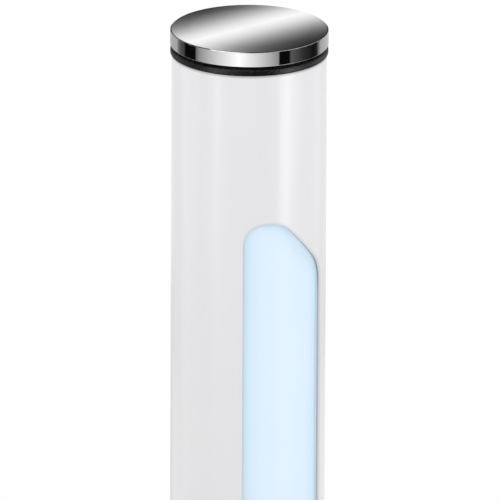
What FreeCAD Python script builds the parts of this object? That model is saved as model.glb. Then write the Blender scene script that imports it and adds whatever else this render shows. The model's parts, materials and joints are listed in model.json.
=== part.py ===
import FreeCAD, Part
import math
import os

from FreeCAD import Vector

# A touch floor lamp: a white round column with a tall light window on its front, a chrome cap that is the
# touch button, and a round weighted base. Sizes are in millimetres. Z is up, the origin is on the floor in
# the middle of the base, and the light window faces -Y. Distances along the window are measured on the
# column's outer face, from the window's middle line, positive towards +X.

# Overall sizes
lamp_height = 1200.0
column_d = 60.0
column_wall = 1.5
base_d = 250.0

# Fits between pieces
slide_fit = 0.2
tube_fit = 0.3
running_fit = 0.05
hole_fit = 0.05
stop_gap = 0.05

# Touch cap, its press and the ring under it
cap_overhang = 0.55
cap_rim_h = 5.9
cap_dome = 0.8
cap_wall = 1.5
cap_roll_w = 0.5
cap_roll_r = 3.0
cap_edge_r = 0.25
cap_lip_r = 0.3
cap_boss_r = 3.0
cap_roof = 0.9
press_gap = 1.0
press_travel = 0.8
ring_h = 2.8
ring_flange_h = 1.4
ring_overhang = 0.5
ring_bevel = 0.5
ring_bead_r = 1.2
ring_foot_bevel = 0.15
ring_foot_r = 0.7
ring_lip_r = 0.5

# Cap carrier
carrier_recess = 0.3
carrier_t = 2.5
carrier_skirt = 3.0
cap_screw_inset = 7.1
leg_w = 6.0
leg_t = 2.0
leg_inset = 1.9
hook_reach = 1.5
hook_h = 2.5
post_r = 3.0

# Head collar
collar_h = 28.0
collar_rim = 0.7
collar_neck_wall = 1.8
collar_skirt = 2.4
well_depth = 6.0
shelf_t = 3.0
switch_hole_r = 5.0
leg_clearance = 0.4
collar_boss_r = 3.0
collar_boss_inset = 0.4

# Return springs
spring_inset = 7.4
spring_mean_d = 6.0
spring_wire_d = 0.6
spring_pin_r = 2.4
spring_pin_h = 3.0
carrier_pin_h = 2.0

# Touch switch and its board
board_t = 1.6
board_boss_h = 2.0
board_boss_r = 3.0
board_screw_inset = 4.0
board_leg_gap = 3.0
switch_w = 6.0
switch_h = 3.5
plunger_r = 1.7
plunger_h = 3.2
plunger_show = 2.1
plug_w = 8.0
plug_t = 5.0
plug_h = 6.0
chip_x = -9.0
chip_y = -2.5
chip_w = 5.0
chip_t = 1.2

# Screws
socket_depth_share = 0.6
small_shank_r = 1.0
small_head_r = 2.2
small_head_h = 1.2
frame_shank_r = 1.6
frame_head_r = 2.9
frame_head_h = 2.2
frame_screw_l = 16.0
board_screw_grip = 1.5
head_screw_grip = 8.0
base_shank_r = 2.9
base_head_r = 5.0
base_head_h = 4.0
base_screw_grip = 8.0
base_head_sunk = 2.0
washer_r = 6.0
washer_t = 1.2

# Light window, unrolled
window_w = 36.5
window_drop = 60.0
window_sill = 240.0
window_corner_r = 8.5
slant_w = 21.0
slant_h = 21.6
slant_top_r = 10.0
slant_side_r = 16.0

# Diffuser tube and its end rings
diffuser_wall = 2.0
diffuser_past = 12.0
ring_step_h = 3.0
ring_plate_h = 5.0
ring_band = 3.2
ring_bar_t = 6.0
ring_screw_x = 15.0
ring_notch_depth = 3.0
ring_notch_margin = 2.0

# Core profile that runs through the column
core_gap = 1.7
core_wall = 2.0
core_flat_y = 6.0
channel_deg = 50.0
channel_inset = 4.3
channel_r = 3.5
head_plate_t = 4.0
head_plate_fit = 0.3

# LED boards and reflectors
led_board_w = 16.0
led_boards_inset = 8.6
led_board_gap = 4.0
led_pitch = 18.0
led_w = 2.8
led_l = 3.5
led_t = 0.8
link_w = 8.0
link_l = 12.0
link_t = 2.0
reflector_t = 1.0
reflector_wing_y = -8.5
rivet_r = 1.2
rivet_head_r = 2.2
rivet_head_h = 0.8
rivets_a_side = 4
reflector_bend_inset = 4.0

# Driver
driver_w = 34.0
driver_l = 120.0
driver_z = 80.0
driver_stand = 4.0
standoff_r = 2.5
driver_hole_inset_x = 4.0
driver_hole_inset_z = 12.0
driver_plug_inset = 2.0
coil_z = 54.0
coil_w = 14.0
coil_depth = 12.0
coil_well_r = 5.5
coil_well_depth = 6.0
coil_core_r = 2.5
capacitor_z = 82.0
capacitor_x = 6.5
capacitor_r = 5.0
capacitor_l = 14.0
terminal_z = 2.0
terminal_w = 16.0
terminal_h = 10.0
terminal_depth = 10.0
terminal_well_r = 1.5
terminal_well_depth = 3.0
terminal_way_h = 7.0

# Leads
touch_lead_r = 1.25
touch_lead_gap = 2.5
touch_slope_deg = 60.0
touch_bend_share = 0.95
led_lead_r = 1.0
led_bend_r = 20.0
led_lead_straight = 6.5
led_plug_lift = 1.0
led_plug_x = 10.0
lead_hole_fit = 0.65

# Base
base_crown = 21.0
base_edge_h = 17.0
base_edge_r = 6.0
base_seat_r = 37.0
base_seat_bend_r = 8.0
thin_edge_r = 0.4
base_lift = 0.8
cover_wall = 1.5
pad_t = 2.5
pad_edge_r = 0.6
weight_gap = 5.5
weight_t = 10.5
weight_edge_r = 2.0
weight_hub_r = 35.0
weight_hub_flare = 10.5
weight_hub_bend_r = 6.0
centre_hole_r = 9.0
base_screw_pitch_r = 18.0
base_bore_depth = 9.5
plug_disc_t = 12.0
foot_ring_w = 4.0
foot_ring_h = 6.0
foot_ring_r = 1.5

# Lead gland in the base's rear edge
gland_z = 6.3
gland_bore_r = 3.1
gland_neck_r = 4.0
gland_lip_r = 4.7
gland_lip_t = 1.2

# Places that follow from the sizes above
column_r = column_d / 2
bore_r = column_r - column_wall
column_foot = base_crown
cap_r = column_r + cap_overhang
column_top = lamp_height - cap_dome - cap_rim_h - press_gap - ring_h
ring_top = column_top + ring_h
cap_foot = ring_top + press_gap
cap_shoulder = cap_foot + cap_rim_h
collar_r = bore_r - slide_fit
flange_r = bore_r + collar_rim
neck_r = collar_r - collar_neck_wall
well_r = neck_r - collar_neck_wall
shelf_top = column_top - well_depth
shelf_foot = shelf_top - shelf_t
collar_foot = column_top - collar_h
carrier_foot = cap_foot + carrier_recess
leg_out_r = well_r - leg_inset
board_r = leg_out_r - leg_t - board_leg_gap
board_top = shelf_foot - board_boss_h
board_foot = board_top - board_t
board_screw_r = board_r - board_screw_inset
spring_r = well_r - spring_inset
boss_r = collar_r - collar_skirt - collar_boss_r - collar_boss_inset
switch_top = board_top + switch_h
plunger_top = switch_top + plunger_show
head_plate_foot = collar_foot - head_plate_t
diffuser_r = bore_r - tube_fit
diffuser_bore_r = diffuser_r - diffuser_wall
window_top = column_top - window_drop
diffuser_top = window_top + diffuser_past
diffuser_foot = window_sill - diffuser_past
core_r = diffuser_bore_r - core_gap
core_foot = column_foot + plug_disc_t
channel_pitch_r = core_r - channel_inset
channel_x = channel_pitch_r * math.cos(math.radians(channel_deg))
channel_y = channel_pitch_r * math.sin(math.radians(channel_deg))
led_face_y = core_flat_y - board_t
lights_foot = window_sill + led_boards_inset
lights_l = window_top - led_boards_inset - lights_foot
led_board_l = (lights_l - 2 * led_board_gap) / 3
driver_back_y = core_flat_y - driver_stand
driver_face_y = driver_back_y - board_t
driver_top = driver_z + driver_l
driver_plug_z = driver_top - driver_plug_inset
driver_lead_y = driver_face_y - plug_t / 2
led_plug_t = plug_t + led_plug_lift
led_lead_y = led_face_y - led_plug_t + led_lead_r + led_plug_lift
core_half_w = math.sqrt(core_r**2 - core_flat_y**2)
reflector_foot_x = led_board_w / 2 + reflector_t
reflector_bend_x = core_half_w - reflector_bend_inset
touch_lead_y = core_flat_y + core_wall + touch_lead_gap + touch_lead_r
base_r = base_d / 2
weight_r = base_r - cover_wall - weight_gap
weight_hub_top = base_crown - cover_wall
base_seat_z = pad_t + base_head_sunk + base_head_h

# Angles round the head, counted from +X
leg_degs = (90, 210, 330)
spring_degs = (30, 150, 270)
cap_screw_degs = (60, 180, 300)
base_screw_degs = (30, 150, 270)


# Points along a curved side, and how near two numbers count as equal
curve_steps = 8
same = 1e-6


# Plain shapes

def rod(r, z0, z1, x=0.0, y=0.0):
    """An upright cylinder from z0 to z1."""
    return Part.makeCylinder(r, z1 - z0, Vector(x, y, z0))


def tube(outer, inner, z0, z1, x=0.0, y=0.0):
    """An upright hollow cylinder."""
    return rod(outer, z0, z1, x, y).cut(rod(inner, z0, z1, x, y))


def cross_rod(r, y0, y1, x, z):
    """A cylinder along Y from y0 to y1."""
    return Part.makeCylinder(r, y1 - y0, Vector(x, y0, z), Vector(0, 1, 0))


def block(x0, x1, y0, y1, z0, z1):
    """A box between two corners."""
    return Part.makeBox(x1 - x0, y1 - y0, z1 - z0, Vector(x0, y0, z0))


def around(radius, degs):
    """The points at this radius and these angles."""
    return [
        (radius * math.cos(math.radians(a)), radius * math.sin(math.radians(a)))
        for a in degs
    ]


def turned_to(shape, deg):
    """A copy of the shape turned about the lamp's axis."""
    return shape.copy().rotate(Vector(0, 0, 0), Vector(0, 0, 1), deg)


def prism(points, z0, z1):
    """An upright prism on a flat outline of (x, y) points."""
    ring = Part.makePolygon([Vector(x, y, z0) for x, y in points + points[:1]])
    return Part.Face(ring).extrude(Vector(0, 0, z1 - z0))


def hexagon(across, z0, z1, x, y):
    """An upright hexagonal prism, for a socket in a screw head."""
    r = across / math.sqrt(3)
    return prism([(x + px, y + py) for px, py in around(r, range(0, 360, 60))], z0, z1)


def upright(shape):
    """The shape turned from lying along +Z to lying along +Y, about the origin."""
    return shape.copy().rotate(Vector(0, 0, 0), Vector(1, 0, 0), -90)


def sides_of(corners):
    """The sides of a closed outline with rounded corners, each corner given as (x, y, radius).

    A straight side is its two ends, and a rounded corner is evenly spaced points of its arc."""
    rounds = []
    for i, (x, y, r) in enumerate(corners):
        before = Vector(corners[i - 1][0] - x, corners[i - 1][1] - y, 0).normalize()
        after = corners[(i + 1) % len(corners)]
        after = Vector(after[0] - x, after[1] - y, 0).normalize()
        half = before.getAngle(after) / 2
        start = Vector(x, y, 0) + before * (r / math.tan(half))
        centre = Vector(x, y, 0) + (before + after).normalize() * (r / math.sin(half))
        arm = start - centre
        turn = math.pi - 2 * half
        if before.cross(after).z > 0:
            turn = -turn
        arc = []
        for k in range(curve_steps + 1 if r > 0 else 1):
            a = turn * k / curve_steps
            dx = arm.x * math.cos(a) - arm.y * math.sin(a)
            dy = arm.x * math.sin(a) + arm.y * math.cos(a)
            arc.append((centre.x + dx, centre.y + dy))
        rounds.append(arc)
    sides = []
    for i, arc in enumerate(rounds):
        if len(arc) > 1:
            sides.append(arc)
        sides.append([arc[-1], rounds[(i + 1) % len(rounds)][0]])
    return sides


def level_edges(body, z):
    """The edges of the body that lie level at this height."""
    return [e for e in body.Edges if abs(e.BoundBox.ZMin - z) < 0.01 and abs(e.BoundBox.ZMax - z) < 0.01]


def turned(corners):
    """A solid of revolution about Z from rounded corners given as (radius, height, corner radius)."""
    edges = []
    for side in sides_of(corners):
        points = [Vector(r, 0, z) for r, z in side]
        if len(points) == 2:
            edges.append(Part.LineSegment(points[0], points[1]).toShape())
        else:
            edges.append(Part.Arc(points[0], points[len(points) // 2], points[-1]).toShape())
    return Part.Face(Part.Wire(edges)).revolve(Vector(0, 0, 0), Vector(0, 0, 1), 360)


def screw(shank_r, length, head_r, head_h, z, x, y, up=1):
    """An upright screw whose head sits under the plane z if up is 1, or on it if up is -1."""
    socket = hexagon(head_r, -head_h, head_h * (socket_depth_share - 1), 0, 0)
    head = rod(head_r, -head_h, 0).cut(socket)
    body = head.fuse(rod(shank_r, 0, length)).removeSplitter()
    if up < 0:
        body.rotate(Vector(0, 0, 0), Vector(1, 0, 0), 180)
    body.translate(Vector(x, y, z))
    return body


def cross_screw(shank_r, length, head_r, head_h, y, x, z):
    """A screw along +Y whose head lies in front of the plane y."""
    body = upright(screw(shank_r, length, head_r, head_h, 0, 0, 0))
    body.translate(Vector(x, y, z))
    return body


def lead_along(points, bend_r, r):
    """A round lead of radius r along straight runs joined by arcs of radius bend_r."""
    edges = []
    start = points[0]
    for before, corner, after in zip(points, points[1:], points[2:]):
        into = (corner - before).normalize()
        out = (after - corner).normalize()
        half = into.getAngle(out) / 2
        p = corner - into * (bend_r * math.tan(half))
        q = corner + out * (bend_r * math.tan(half))
        middle = corner + (out - into).normalize() * (bend_r / math.cos(half) - bend_r)
        edges.append(Part.LineSegment(start, p).toShape())
        edges.append(Part.Arc(p, middle, q).toShape())
        start = q
    edges.append(Part.LineSegment(start, points[-1]).toShape())
    path = Part.Wire(edges)
    disc = Part.Wire(Part.makeCircle(r, points[0], points[1] - points[0]))
    lead = path.makePipeShell([disc], True, False)
    share = lead.Volume / (math.pi * r * r * path.Length)
    print(f"lead: {path.Length:.1f} mm long, bend radius {bend_r:.1f} mm")
    print(f"its volume is {share:.4f} of its section times its length")
    return lead


def save(name, *solids):
    """Writes a node, as one solid or as a group of separate solids."""
    shape = solids[0] if len(solids) == 1 else Part.makeCompound(list(solids))
    shape.exportStep(f"parts/{name}.step")


# Touch cap and what it carries

def cap_outside():
    """The cap's outer form: a shallow dome that rolls down over its last half millimetre to an upright rim."""
    dome_r = (cap_r**2 + cap_dome**2) / (2 * cap_dome)
    crown = cap_shoulder + cap_dome
    lean = math.asin((cap_r - cap_roll_w) / dome_r)
    roll_x = (dome_r - cap_roll_r) * math.sin(lean)
    roll_z = crown - dome_r + (dome_r - cap_roll_r) * math.cos(lean)
    steep = math.asin((cap_r - roll_x) / cap_roll_r)

    def on_dome(angle):
        return Vector(dome_r * math.sin(angle), 0, crown - dome_r + dome_r * math.cos(angle))

    def on_roll(angle):
        return Vector(roll_x + cap_roll_r * math.sin(angle), 0, roll_z + cap_roll_r * math.cos(angle))

    edges = [
        Part.Arc(on_dome(0), on_dome(lean / 2), on_dome(lean)).toShape(),
        Part.Arc(on_dome(lean), on_roll((lean + steep) / 2), on_roll(steep)).toShape(),
        Part.makeLine(on_roll(steep), Vector(cap_r, 0, cap_foot)),
        Part.makeLine(Vector(cap_r, 0, cap_foot), Vector(0, 0, cap_foot)),
        Part.makeLine(Vector(0, 0, cap_foot), Vector(0, 0, crown)),
    ]
    body = Part.Face(Part.Wire(edges)).revolve(Vector(0, 0, 0), Vector(0, 0, 1), 360)
    body = body.makeFillet(cap_edge_r, level_edges(body, on_roll(steep).z))
    return body.makeFillet(cap_lip_r, level_edges(body, cap_foot))


def touch_cap():
    """A domed disc with a turned rim, hollow underneath, with three screw bosses."""
    body = cap_outside()
    body = body.cut(rod(cap_r - cap_wall, cap_foot, cap_shoulder - cap_wall))
    for x, y in around(cap_r - cap_wall - cap_screw_inset, cap_screw_degs):
        body = body.fuse(rod(cap_boss_r, carrier_foot + carrier_t, cap_shoulder - cap_wall, x, y))
        body = body.cut(rod(small_shank_r + hole_fit, carrier_foot + carrier_t, cap_shoulder - cap_roof, x, y))
    return body.removeSplitter()


def carrier_leg():
    """One leg of the carrier along +X, with its hook turned outwards under the shelf."""
    foot = shelf_foot - stop_gap - hook_h
    leg = block(leg_out_r - leg_t, leg_out_r, -leg_w / 2, leg_w / 2, foot, carrier_foot)
    hook = block(leg_out_r, leg_out_r + hook_reach, -leg_w / 2, leg_w / 2, foot, foot + hook_h)
    return leg.fuse(hook)


def cap_carrier():
    """The moulded disc inside the cap, with the switch post, the spring pins and three hooked legs."""
    outer = cap_r - cap_wall - slide_fit
    body = rod(outer, carrier_foot, carrier_foot + carrier_t)
    body = body.fuse(tube(outer, outer - carrier_skirt, carrier_foot, cap_shoulder - cap_wall))
    body = body.fuse(rod(post_r, plunger_top, carrier_foot))
    for x, y in around(spring_r, spring_degs):
        body = body.fuse(rod(spring_pin_r, carrier_foot - carrier_pin_h, carrier_foot, x, y))
    for deg in leg_degs:
        body = body.fuse(turned_to(carrier_leg(), deg))
    for x, y in around(cap_r - cap_wall - cap_screw_inset, cap_screw_degs):
        body = body.cut(rod(small_shank_r + hole_fit, carrier_foot, carrier_foot + carrier_t, x, y))
        body = body.cut(rod(small_head_r + slide_fit, carrier_foot, carrier_foot + small_head_h, x, y))
    return body.removeSplitter()


def cap_screws():
    """Three screws up through the carrier into the cap's bosses."""
    seat = carrier_foot + small_head_h
    length = cap_shoulder - cap_roof - stop_gap - seat
    places = around(cap_r - cap_wall - cap_screw_inset, cap_screw_degs)
    return [screw(small_shank_r, length, small_head_r, small_head_h, seat, x, y) for x, y in places]


def return_springs():
    """Three springs between the collar's shelf and the carrier, as hollow cylinders of their coils."""
    outer = (spring_mean_d + spring_wire_d) / 2
    inner = (spring_mean_d - spring_wire_d) / 2
    return [tube(outer, inner, shelf_top, carrier_foot, x, y) for x, y in around(spring_r, spring_degs)]


# Touch switch and its board

def touch_switch():
    """The switch housing under the post, with the bore that its plunger runs in."""
    half = switch_w / 2
    body = block(-half, half, -half, half, board_top, switch_top)
    floor = plunger_top - plunger_h - press_travel - 2 * stop_gap
    return body.cut(rod(plunger_r + running_fit, floor, switch_top))


def switch_plunger():
    """The switch's plunger, which the cap's post pushes down."""
    return rod(plunger_r, plunger_top - plunger_h, plunger_top)


def touch_board():
    """The round board that hangs under the collar's shelf."""
    body = rod(board_r, board_foot, board_top)
    for x, y in around(board_screw_r, spring_degs):
        body = body.cut(rod(small_shank_r + hole_fit, board_foot, board_top, x, y))
    return body


def touch_board_screws():
    """Three screws up through the board into the shelf's bosses."""
    length = board_t + board_boss_h + board_screw_grip - stop_gap
    places = around(board_screw_r, spring_degs)
    return [screw(small_shank_r, length, small_head_r, small_head_h, board_foot, x, y) for x, y in places]


def touch_plug():
    """The plug under the board, where the touch lead starts."""
    y = touch_lead_y
    return block(-plug_w / 2, plug_w / 2, y - plug_t / 2, y + plug_t / 2, board_foot - plug_h, board_foot)


def touch_chip():
    """The touch controller under the board."""
    half = chip_w / 2
    return block(chip_x - half, chip_x + half, chip_y - half, chip_y + half, board_foot - chip_t, board_foot)


# Ring, collar and head plate

def cap_ring():
    """The rubber ring on the column's upper edge: a round bead outside, and a flange that the collar holds."""
    bead_r = column_r + ring_overhang
    return turned([
        (neck_r + slide_fit, column_top, 0),
        (column_r, column_top, 0),
        (bead_r, column_top + ring_foot_bevel, ring_foot_r),
        (bead_r, ring_top - ring_bevel, ring_bead_r),
        (column_r, ring_top, ring_lip_r),
        (flange_r + slide_fit, ring_top, 0),
        (flange_r + slide_fit, column_top + ring_flange_h, 0),
        (neck_r + slide_fit, column_top + ring_flange_h, 0),
    ])


def head_collar():
    """The moulded collar in the column's head: a well for legs and springs, a shelf, and a skirt below."""
    body = rod(collar_r, collar_foot, column_top)
    body = body.fuse(rod(neck_r, column_top, column_top + ring_flange_h))
    body = body.fuse(rod(flange_r, column_top + ring_flange_h, ring_top))
    body = body.cut(rod(well_r, shelf_top, ring_top))
    body = body.cut(rod(collar_r - collar_skirt, collar_foot, shelf_foot))
    for x, y in around(boss_r, spring_degs):
        body = body.fuse(rod(collar_boss_r, collar_foot, shelf_foot, x, y))
        body = body.cut(rod(small_shank_r + hole_fit, collar_foot, collar_foot + frame_screw_l, x, y))
    for x, y in around(board_screw_r, spring_degs):
        body = body.fuse(rod(board_boss_r, board_top, shelf_foot, x, y))
        body = body.cut(rod(small_shank_r + hole_fit, board_top, shelf_foot + board_screw_grip, x, y))
    for x, y in around(spring_r, spring_degs):
        body = body.fuse(rod(spring_pin_r, shelf_top, shelf_top + spring_pin_h, x, y))
    body = body.cut(rod(switch_hole_r, shelf_foot, shelf_top))
    half = leg_w / 2 + leg_clearance
    slot_in = leg_out_r - leg_t - leg_clearance
    slot = block(slot_in, leg_out_r + leg_clearance, -half, half, shelf_foot, shelf_top)
    for deg in leg_degs:
        body = body.cut(turned_to(slot, deg))
    return body.removeSplitter()


def head_plate():
    """The plate that closes the collar and is screwed to the core profile's upper end."""
    body = rod(bore_r - head_plate_fit, head_plate_foot, collar_foot)
    for x, y in around(boss_r, spring_degs):
        body = body.cut(rod(small_shank_r + hole_fit, head_plate_foot, collar_foot, x, y))
        body = body.cut(rod(small_head_r + slide_fit, head_plate_foot, head_plate_foot + small_head_h, x, y))
    for x in (-channel_x, channel_x):
        body = body.cut(rod(frame_shank_r + hole_fit, head_plate_foot, collar_foot, x, channel_y))
    return body.cut(rod(touch_lead_r + lead_hole_fit, head_plate_foot, collar_foot, 0, touch_lead_y))


def head_plate_screws():
    """Three screws up through the plate into the collar."""
    seat = head_plate_foot + small_head_h
    length = collar_foot - seat + head_screw_grip
    places = around(boss_r, spring_degs)
    return [screw(small_shank_r, length, small_head_r, small_head_h, seat, x, y) for x, y in places]


def core_screws_top():
    """Two screws down through the plate into the core profile's channels."""
    return [
        screw(frame_shank_r, frame_screw_l, frame_head_r, frame_head_h, collar_foot, x, channel_y, up=-1)
        for x in (-channel_x, channel_x)
    ]


# Column and light

def on_column(along, z, r):
    """The point at this distance along the column's outer face and this height, at radius r."""
    a = along / column_r
    return Vector(r * math.sin(a), -r * math.cos(a), z)


def wrapped(side, r):
    """One side of the window's outline, wrapped round the column's axis at radius r."""
    (along0, z0), (along1, z1) = side[0], side[-1]
    if len(side) == 2 and abs(along0 - along1) < same:
        return Part.LineSegment(on_column(along0, z0, r), on_column(along1, z1, r)).toShape()
    if len(side) == 2 and abs(z0 - z1) < same:
        middle = on_column((along0 + along1) / 2, z0, r)
        return Part.Arc(on_column(along0, z0, r), middle, on_column(along1, z1, r)).toShape()
    if len(side) == 2:
        shares = [k / curve_steps for k in range(curve_steps + 1)]
        side = [(along0 + (along1 - along0) * t, z0 + (z1 - z0) * t) for t in shares]
    curve = Part.BSplineCurve()
    curve.interpolate([on_column(along, z, r) for along, z in side])
    return curve.toShape()


def window_corners():
    """The window's outline, unrolled: its upper right is cut at a slant, and so is its lower left."""
    half = window_w / 2
    return [
        (-half, window_top, window_corner_r),
        (half - slant_w, window_top, slant_top_r),
        (half, window_top - slant_h, slant_side_r),
        (half, window_sill, window_corner_r),
        (slant_w - half, window_sill, slant_top_r),
        (-half, window_sill + slant_h, slant_side_r),
    ]


def column_tube():
    """The column, whose wall is cut square to its surface round the window's outline."""
    body = tube(column_r, bore_r, column_foot, column_top)
    cuts = [
        Part.makeRuledSurface(wrapped(side, bore_r - column_wall), wrapped(side, column_r + column_wall))
        for side in sides_of(window_corners())
    ]
    pieces = body.generalFuse([Part.makeShell(cuts)], 1e-5)[0]
    return max(pieces.Solids, key=lambda solid: solid.Volume)


def diffuser_tube():
    """The opal tube that shows in the window."""
    return tube(diffuser_r, diffuser_bore_r, diffuser_foot, diffuser_top)


def diffuser_ring(edge, step):
    """A ring that centres the diffuser's end on the core profile.

    edge is the diffuser's end, and step is 1 for the upper ring and -1 for the lower one."""
    def span(a, b):
        return sorted((edge + step * a, edge + step * b))

    inside = span(-ring_step_h, 0)
    outside = span(0, ring_plate_h)
    whole = span(-ring_step_h, ring_plate_h)
    body = rod(diffuser_bore_r - slide_fit, *inside).fuse(rod(diffuser_r, *outside))
    front = rod(diffuser_bore_r - ring_band, *whole)
    bar_front = core_flat_y - slide_fit - ring_bar_t
    front = front.common(block(-column_r, column_r, -column_r, bar_front, *whole))
    hole = rod(core_r + slide_fit, *whole)
    hole = hole.common(block(-column_r, column_r, core_flat_y - slide_fit, column_r, *whole))
    body = body.cut(front).cut(hole)
    z = edge + step * ring_plate_h / 2
    for x in (-ring_screw_x, ring_screw_x):
        body = body.cut(cross_rod(small_shank_r + hole_fit, bar_front, core_flat_y, x, z))
    side = led_lead_r + ring_notch_margin
    notch = block(-side, led_plug_x + side, bar_front, bar_front + ring_notch_depth, *whole)
    return body.cut(notch)


def diffuser_ring_screws():
    """Two screws through the bar of each ring into the core profile's flat."""
    front = core_flat_y - slide_fit - ring_bar_t
    length = ring_bar_t + slide_fit + core_wall - stop_gap
    heights = (diffuser_top + ring_plate_h / 2, diffuser_foot - ring_plate_h / 2)
    return [
        cross_screw(small_shank_r, length, small_head_r, small_head_h, front, x, z)
        for z in heights
        for x in (-ring_screw_x, ring_screw_x)
    ]


def led_board_foots():
    """The lower ends of the three LED boards, from the top down."""
    step = led_board_l + led_board_gap
    return [lights_foot + step * k for k in (2, 1, 0)]


def led_heights(foot):
    """The heights of the chips on the board that starts at this height."""
    count = int(led_board_l // led_pitch)
    first = foot + (led_board_l - (count - 1) * led_pitch) / 2
    return [first + k * led_pitch for k in range(count)]


def led_screw_heights(foot):
    """The heights of the two screws of the board that starts at this height, midway between two chips."""
    heights = led_heights(foot)
    return [heights[0] + led_pitch / 2, heights[-1] - led_pitch / 2]


def rivet_places():
    """The places (x, z) of the reflector rivets, on both sides."""
    x = (reflector_foot_x + reflector_bend_x) / 2
    step = lights_l / rivets_a_side
    heights = [lights_foot + step * (k + 0.5) for k in range(rivets_a_side)]
    return [(side * x, z) for side in (-1, 1) for z in heights]


def driver_holes():
    """The places (x, z) of the driver board's screws."""
    x = driver_w / 2 - driver_hole_inset_x
    low, high = driver_z + driver_hole_inset_z, driver_top - driver_hole_inset_z
    return [(-x, low), (x, low), (-x, high), (x, high)]


def touch_route():
    """The touch lead's corners from the top down, with the radius of its two bends.

    The bends are as large as the step between the lead's two straight runs allows."""
    step = touch_lead_y - driver_lead_y
    slope = math.radians(touch_slope_deg)
    bend_r = touch_bend_share * step / (2 - 2 * math.cos(slope))
    low = driver_top + bend_r * math.tan(slope / 2)
    high = low + step / math.tan(slope)
    corners = [
        Vector(0, touch_lead_y, board_foot - plug_h),
        Vector(0, touch_lead_y, high),
        Vector(0, driver_lead_y, low),
        Vector(0, driver_lead_y, driver_plug_z),
    ]
    return corners, bend_r


def core_profile():
    """The aluminium profile of a D section with two screw channels, which ties base and head together."""
    z0, z1 = core_foot, head_plate_foot
    body = rod(core_r, z0, z1).common(block(-core_r, core_r, core_flat_y, core_r, z0, z1))
    hollow = rod(core_r - core_wall, z0, z1)
    hollow = hollow.common(block(-core_r, core_r, core_flat_y + core_wall, core_r, z0, z1))
    body = body.cut(hollow)
    for x in (-channel_x, channel_x):
        body = body.fuse(rod(channel_r, z0, z1, x, channel_y))
        body = body.cut(rod(frame_shank_r + hole_fit, z0, z1, x, channel_y))
    front, back = core_flat_y, core_flat_y + core_wall
    small = driver_holes()
    for foot in led_board_foots():
        small += [(0, z) for z in led_screw_heights(foot)]
    for z in (diffuser_top + ring_plate_h / 2, diffuser_foot - ring_plate_h / 2):
        small += [(-ring_screw_x, z), (ring_screw_x, z)]
    for x, z in small:
        body = body.cut(cross_rod(small_shank_r + hole_fit, front, back, x, z))
    for x, z in rivet_places():
        body = body.cut(cross_rod(rivet_r + hole_fit, front, back, x, z))
    corners, bend_r = touch_route()
    middle = (corners[1] + corners[2]) / 2
    z = middle.z + ((front + back) / 2 - middle.y) / math.tan(math.radians(touch_slope_deg))
    half_w = touch_lead_r + lead_hole_fit
    half_h = 2 * half_w
    return body.cut(block(-half_w, half_w, front, back, z - half_h, z + half_h))


def led_board(foot):
    """The narrow board that starts at this height on the profile's flat."""
    half = led_board_w / 2
    body = block(-half, half, led_face_y, core_flat_y, foot, foot + led_board_l)
    for z in led_screw_heights(foot):
        body = body.cut(cross_rod(small_shank_r + hole_fit, led_face_y, core_flat_y, 0, z))
    return body


def led_chips(foot):
    """The row of LED chips on the board that starts at this height."""
    half_w, half_l = led_w / 2, led_l / 2
    front = led_face_y - led_t
    return [block(-half_w, half_w, front, led_face_y, z - half_l, z + half_l) for z in led_heights(foot)]


def led_board_links():
    """The two plugs that join one LED board to the next."""
    half_w, half_l = link_w / 2, link_l / 2
    front = led_face_y - link_t
    heights = [foot - led_board_gap / 2 for foot in led_board_foots()[:2]]
    return [block(-half_w, half_w, front, led_face_y, z - half_l, z + half_l) for z in heights]


def led_board_screws():
    """Two screws a board into the profile's flat."""
    length = board_t + core_wall - stop_gap
    return [
        cross_screw(small_shank_r, length, small_head_r, small_head_h, led_face_y, 0, z)
        for foot in led_board_foots()
        for z in led_screw_heights(foot)
    ]


def reflector(side):
    """A bent white strip beside the LED boards: a foot on the flat and a wing towards the window's edge."""
    reach = diffuser_bore_r - slide_fit - reflector_t
    wing_x = math.sqrt(reach**2 - reflector_wing_y**2)
    front = core_flat_y - reflector_t
    outline = [
        (reflector_foot_x, core_flat_y),
        (reflector_foot_x, front),
        (reflector_bend_x - reflector_t / 2, front),
        (wing_x - reflector_t, reflector_wing_y),
        (wing_x, reflector_wing_y),
        (reflector_bend_x + reflector_t / 2, core_flat_y),
    ]
    body = prism([(side * x, y) for x, y in outline], lights_foot, lights_foot + lights_l)
    for x, z in rivet_places():
        if x * side > 0:
            body = body.cut(cross_rod(rivet_r + hole_fit, front, core_flat_y, x, z))
    return body


def reflector_rivets():
    """The rivets through the reflectors' feet and the profile's flat."""
    front = core_flat_y - reflector_t
    rivets = []
    for x, z in rivet_places():
        shank = cross_rod(rivet_r, front, core_flat_y + core_wall, x, z)
        head = cross_rod(rivet_head_r, front - rivet_head_h, front, x, z)
        rivets.append(shank.fuse(head).removeSplitter())
    return rivets


def led_plug():
    """The plug at the lower end of the lowest LED board."""
    z = lights_foot + led_plug_lift
    return block(-plug_w / 2, plug_w / 2, led_face_y - led_plug_t, led_face_y, z, z + plug_t)


def led_lead():
    """The lead from the driver up to the LED boards."""
    top = lights_foot + led_plug_lift
    corners = [
        Vector(0, led_lead_y, top),
        Vector(0, led_lead_y, top - led_lead_straight),
        Vector(led_plug_x, driver_lead_y, driver_plug_z + led_lead_straight),
        Vector(led_plug_x, driver_lead_y, driver_plug_z),
    ]
    return lead_along(corners, led_bend_r, led_lead_r)


# Driver in the column's foot

def driver_board():
    """The driver's board, standing off the profile's flat."""
    half = driver_w / 2
    body = block(-half, half, driver_face_y, driver_back_y, driver_z, driver_top)
    for x, z in driver_holes():
        body = body.cut(cross_rod(small_shank_r + hole_fit, driver_face_y, driver_back_y, x, z))
    return body


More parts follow.
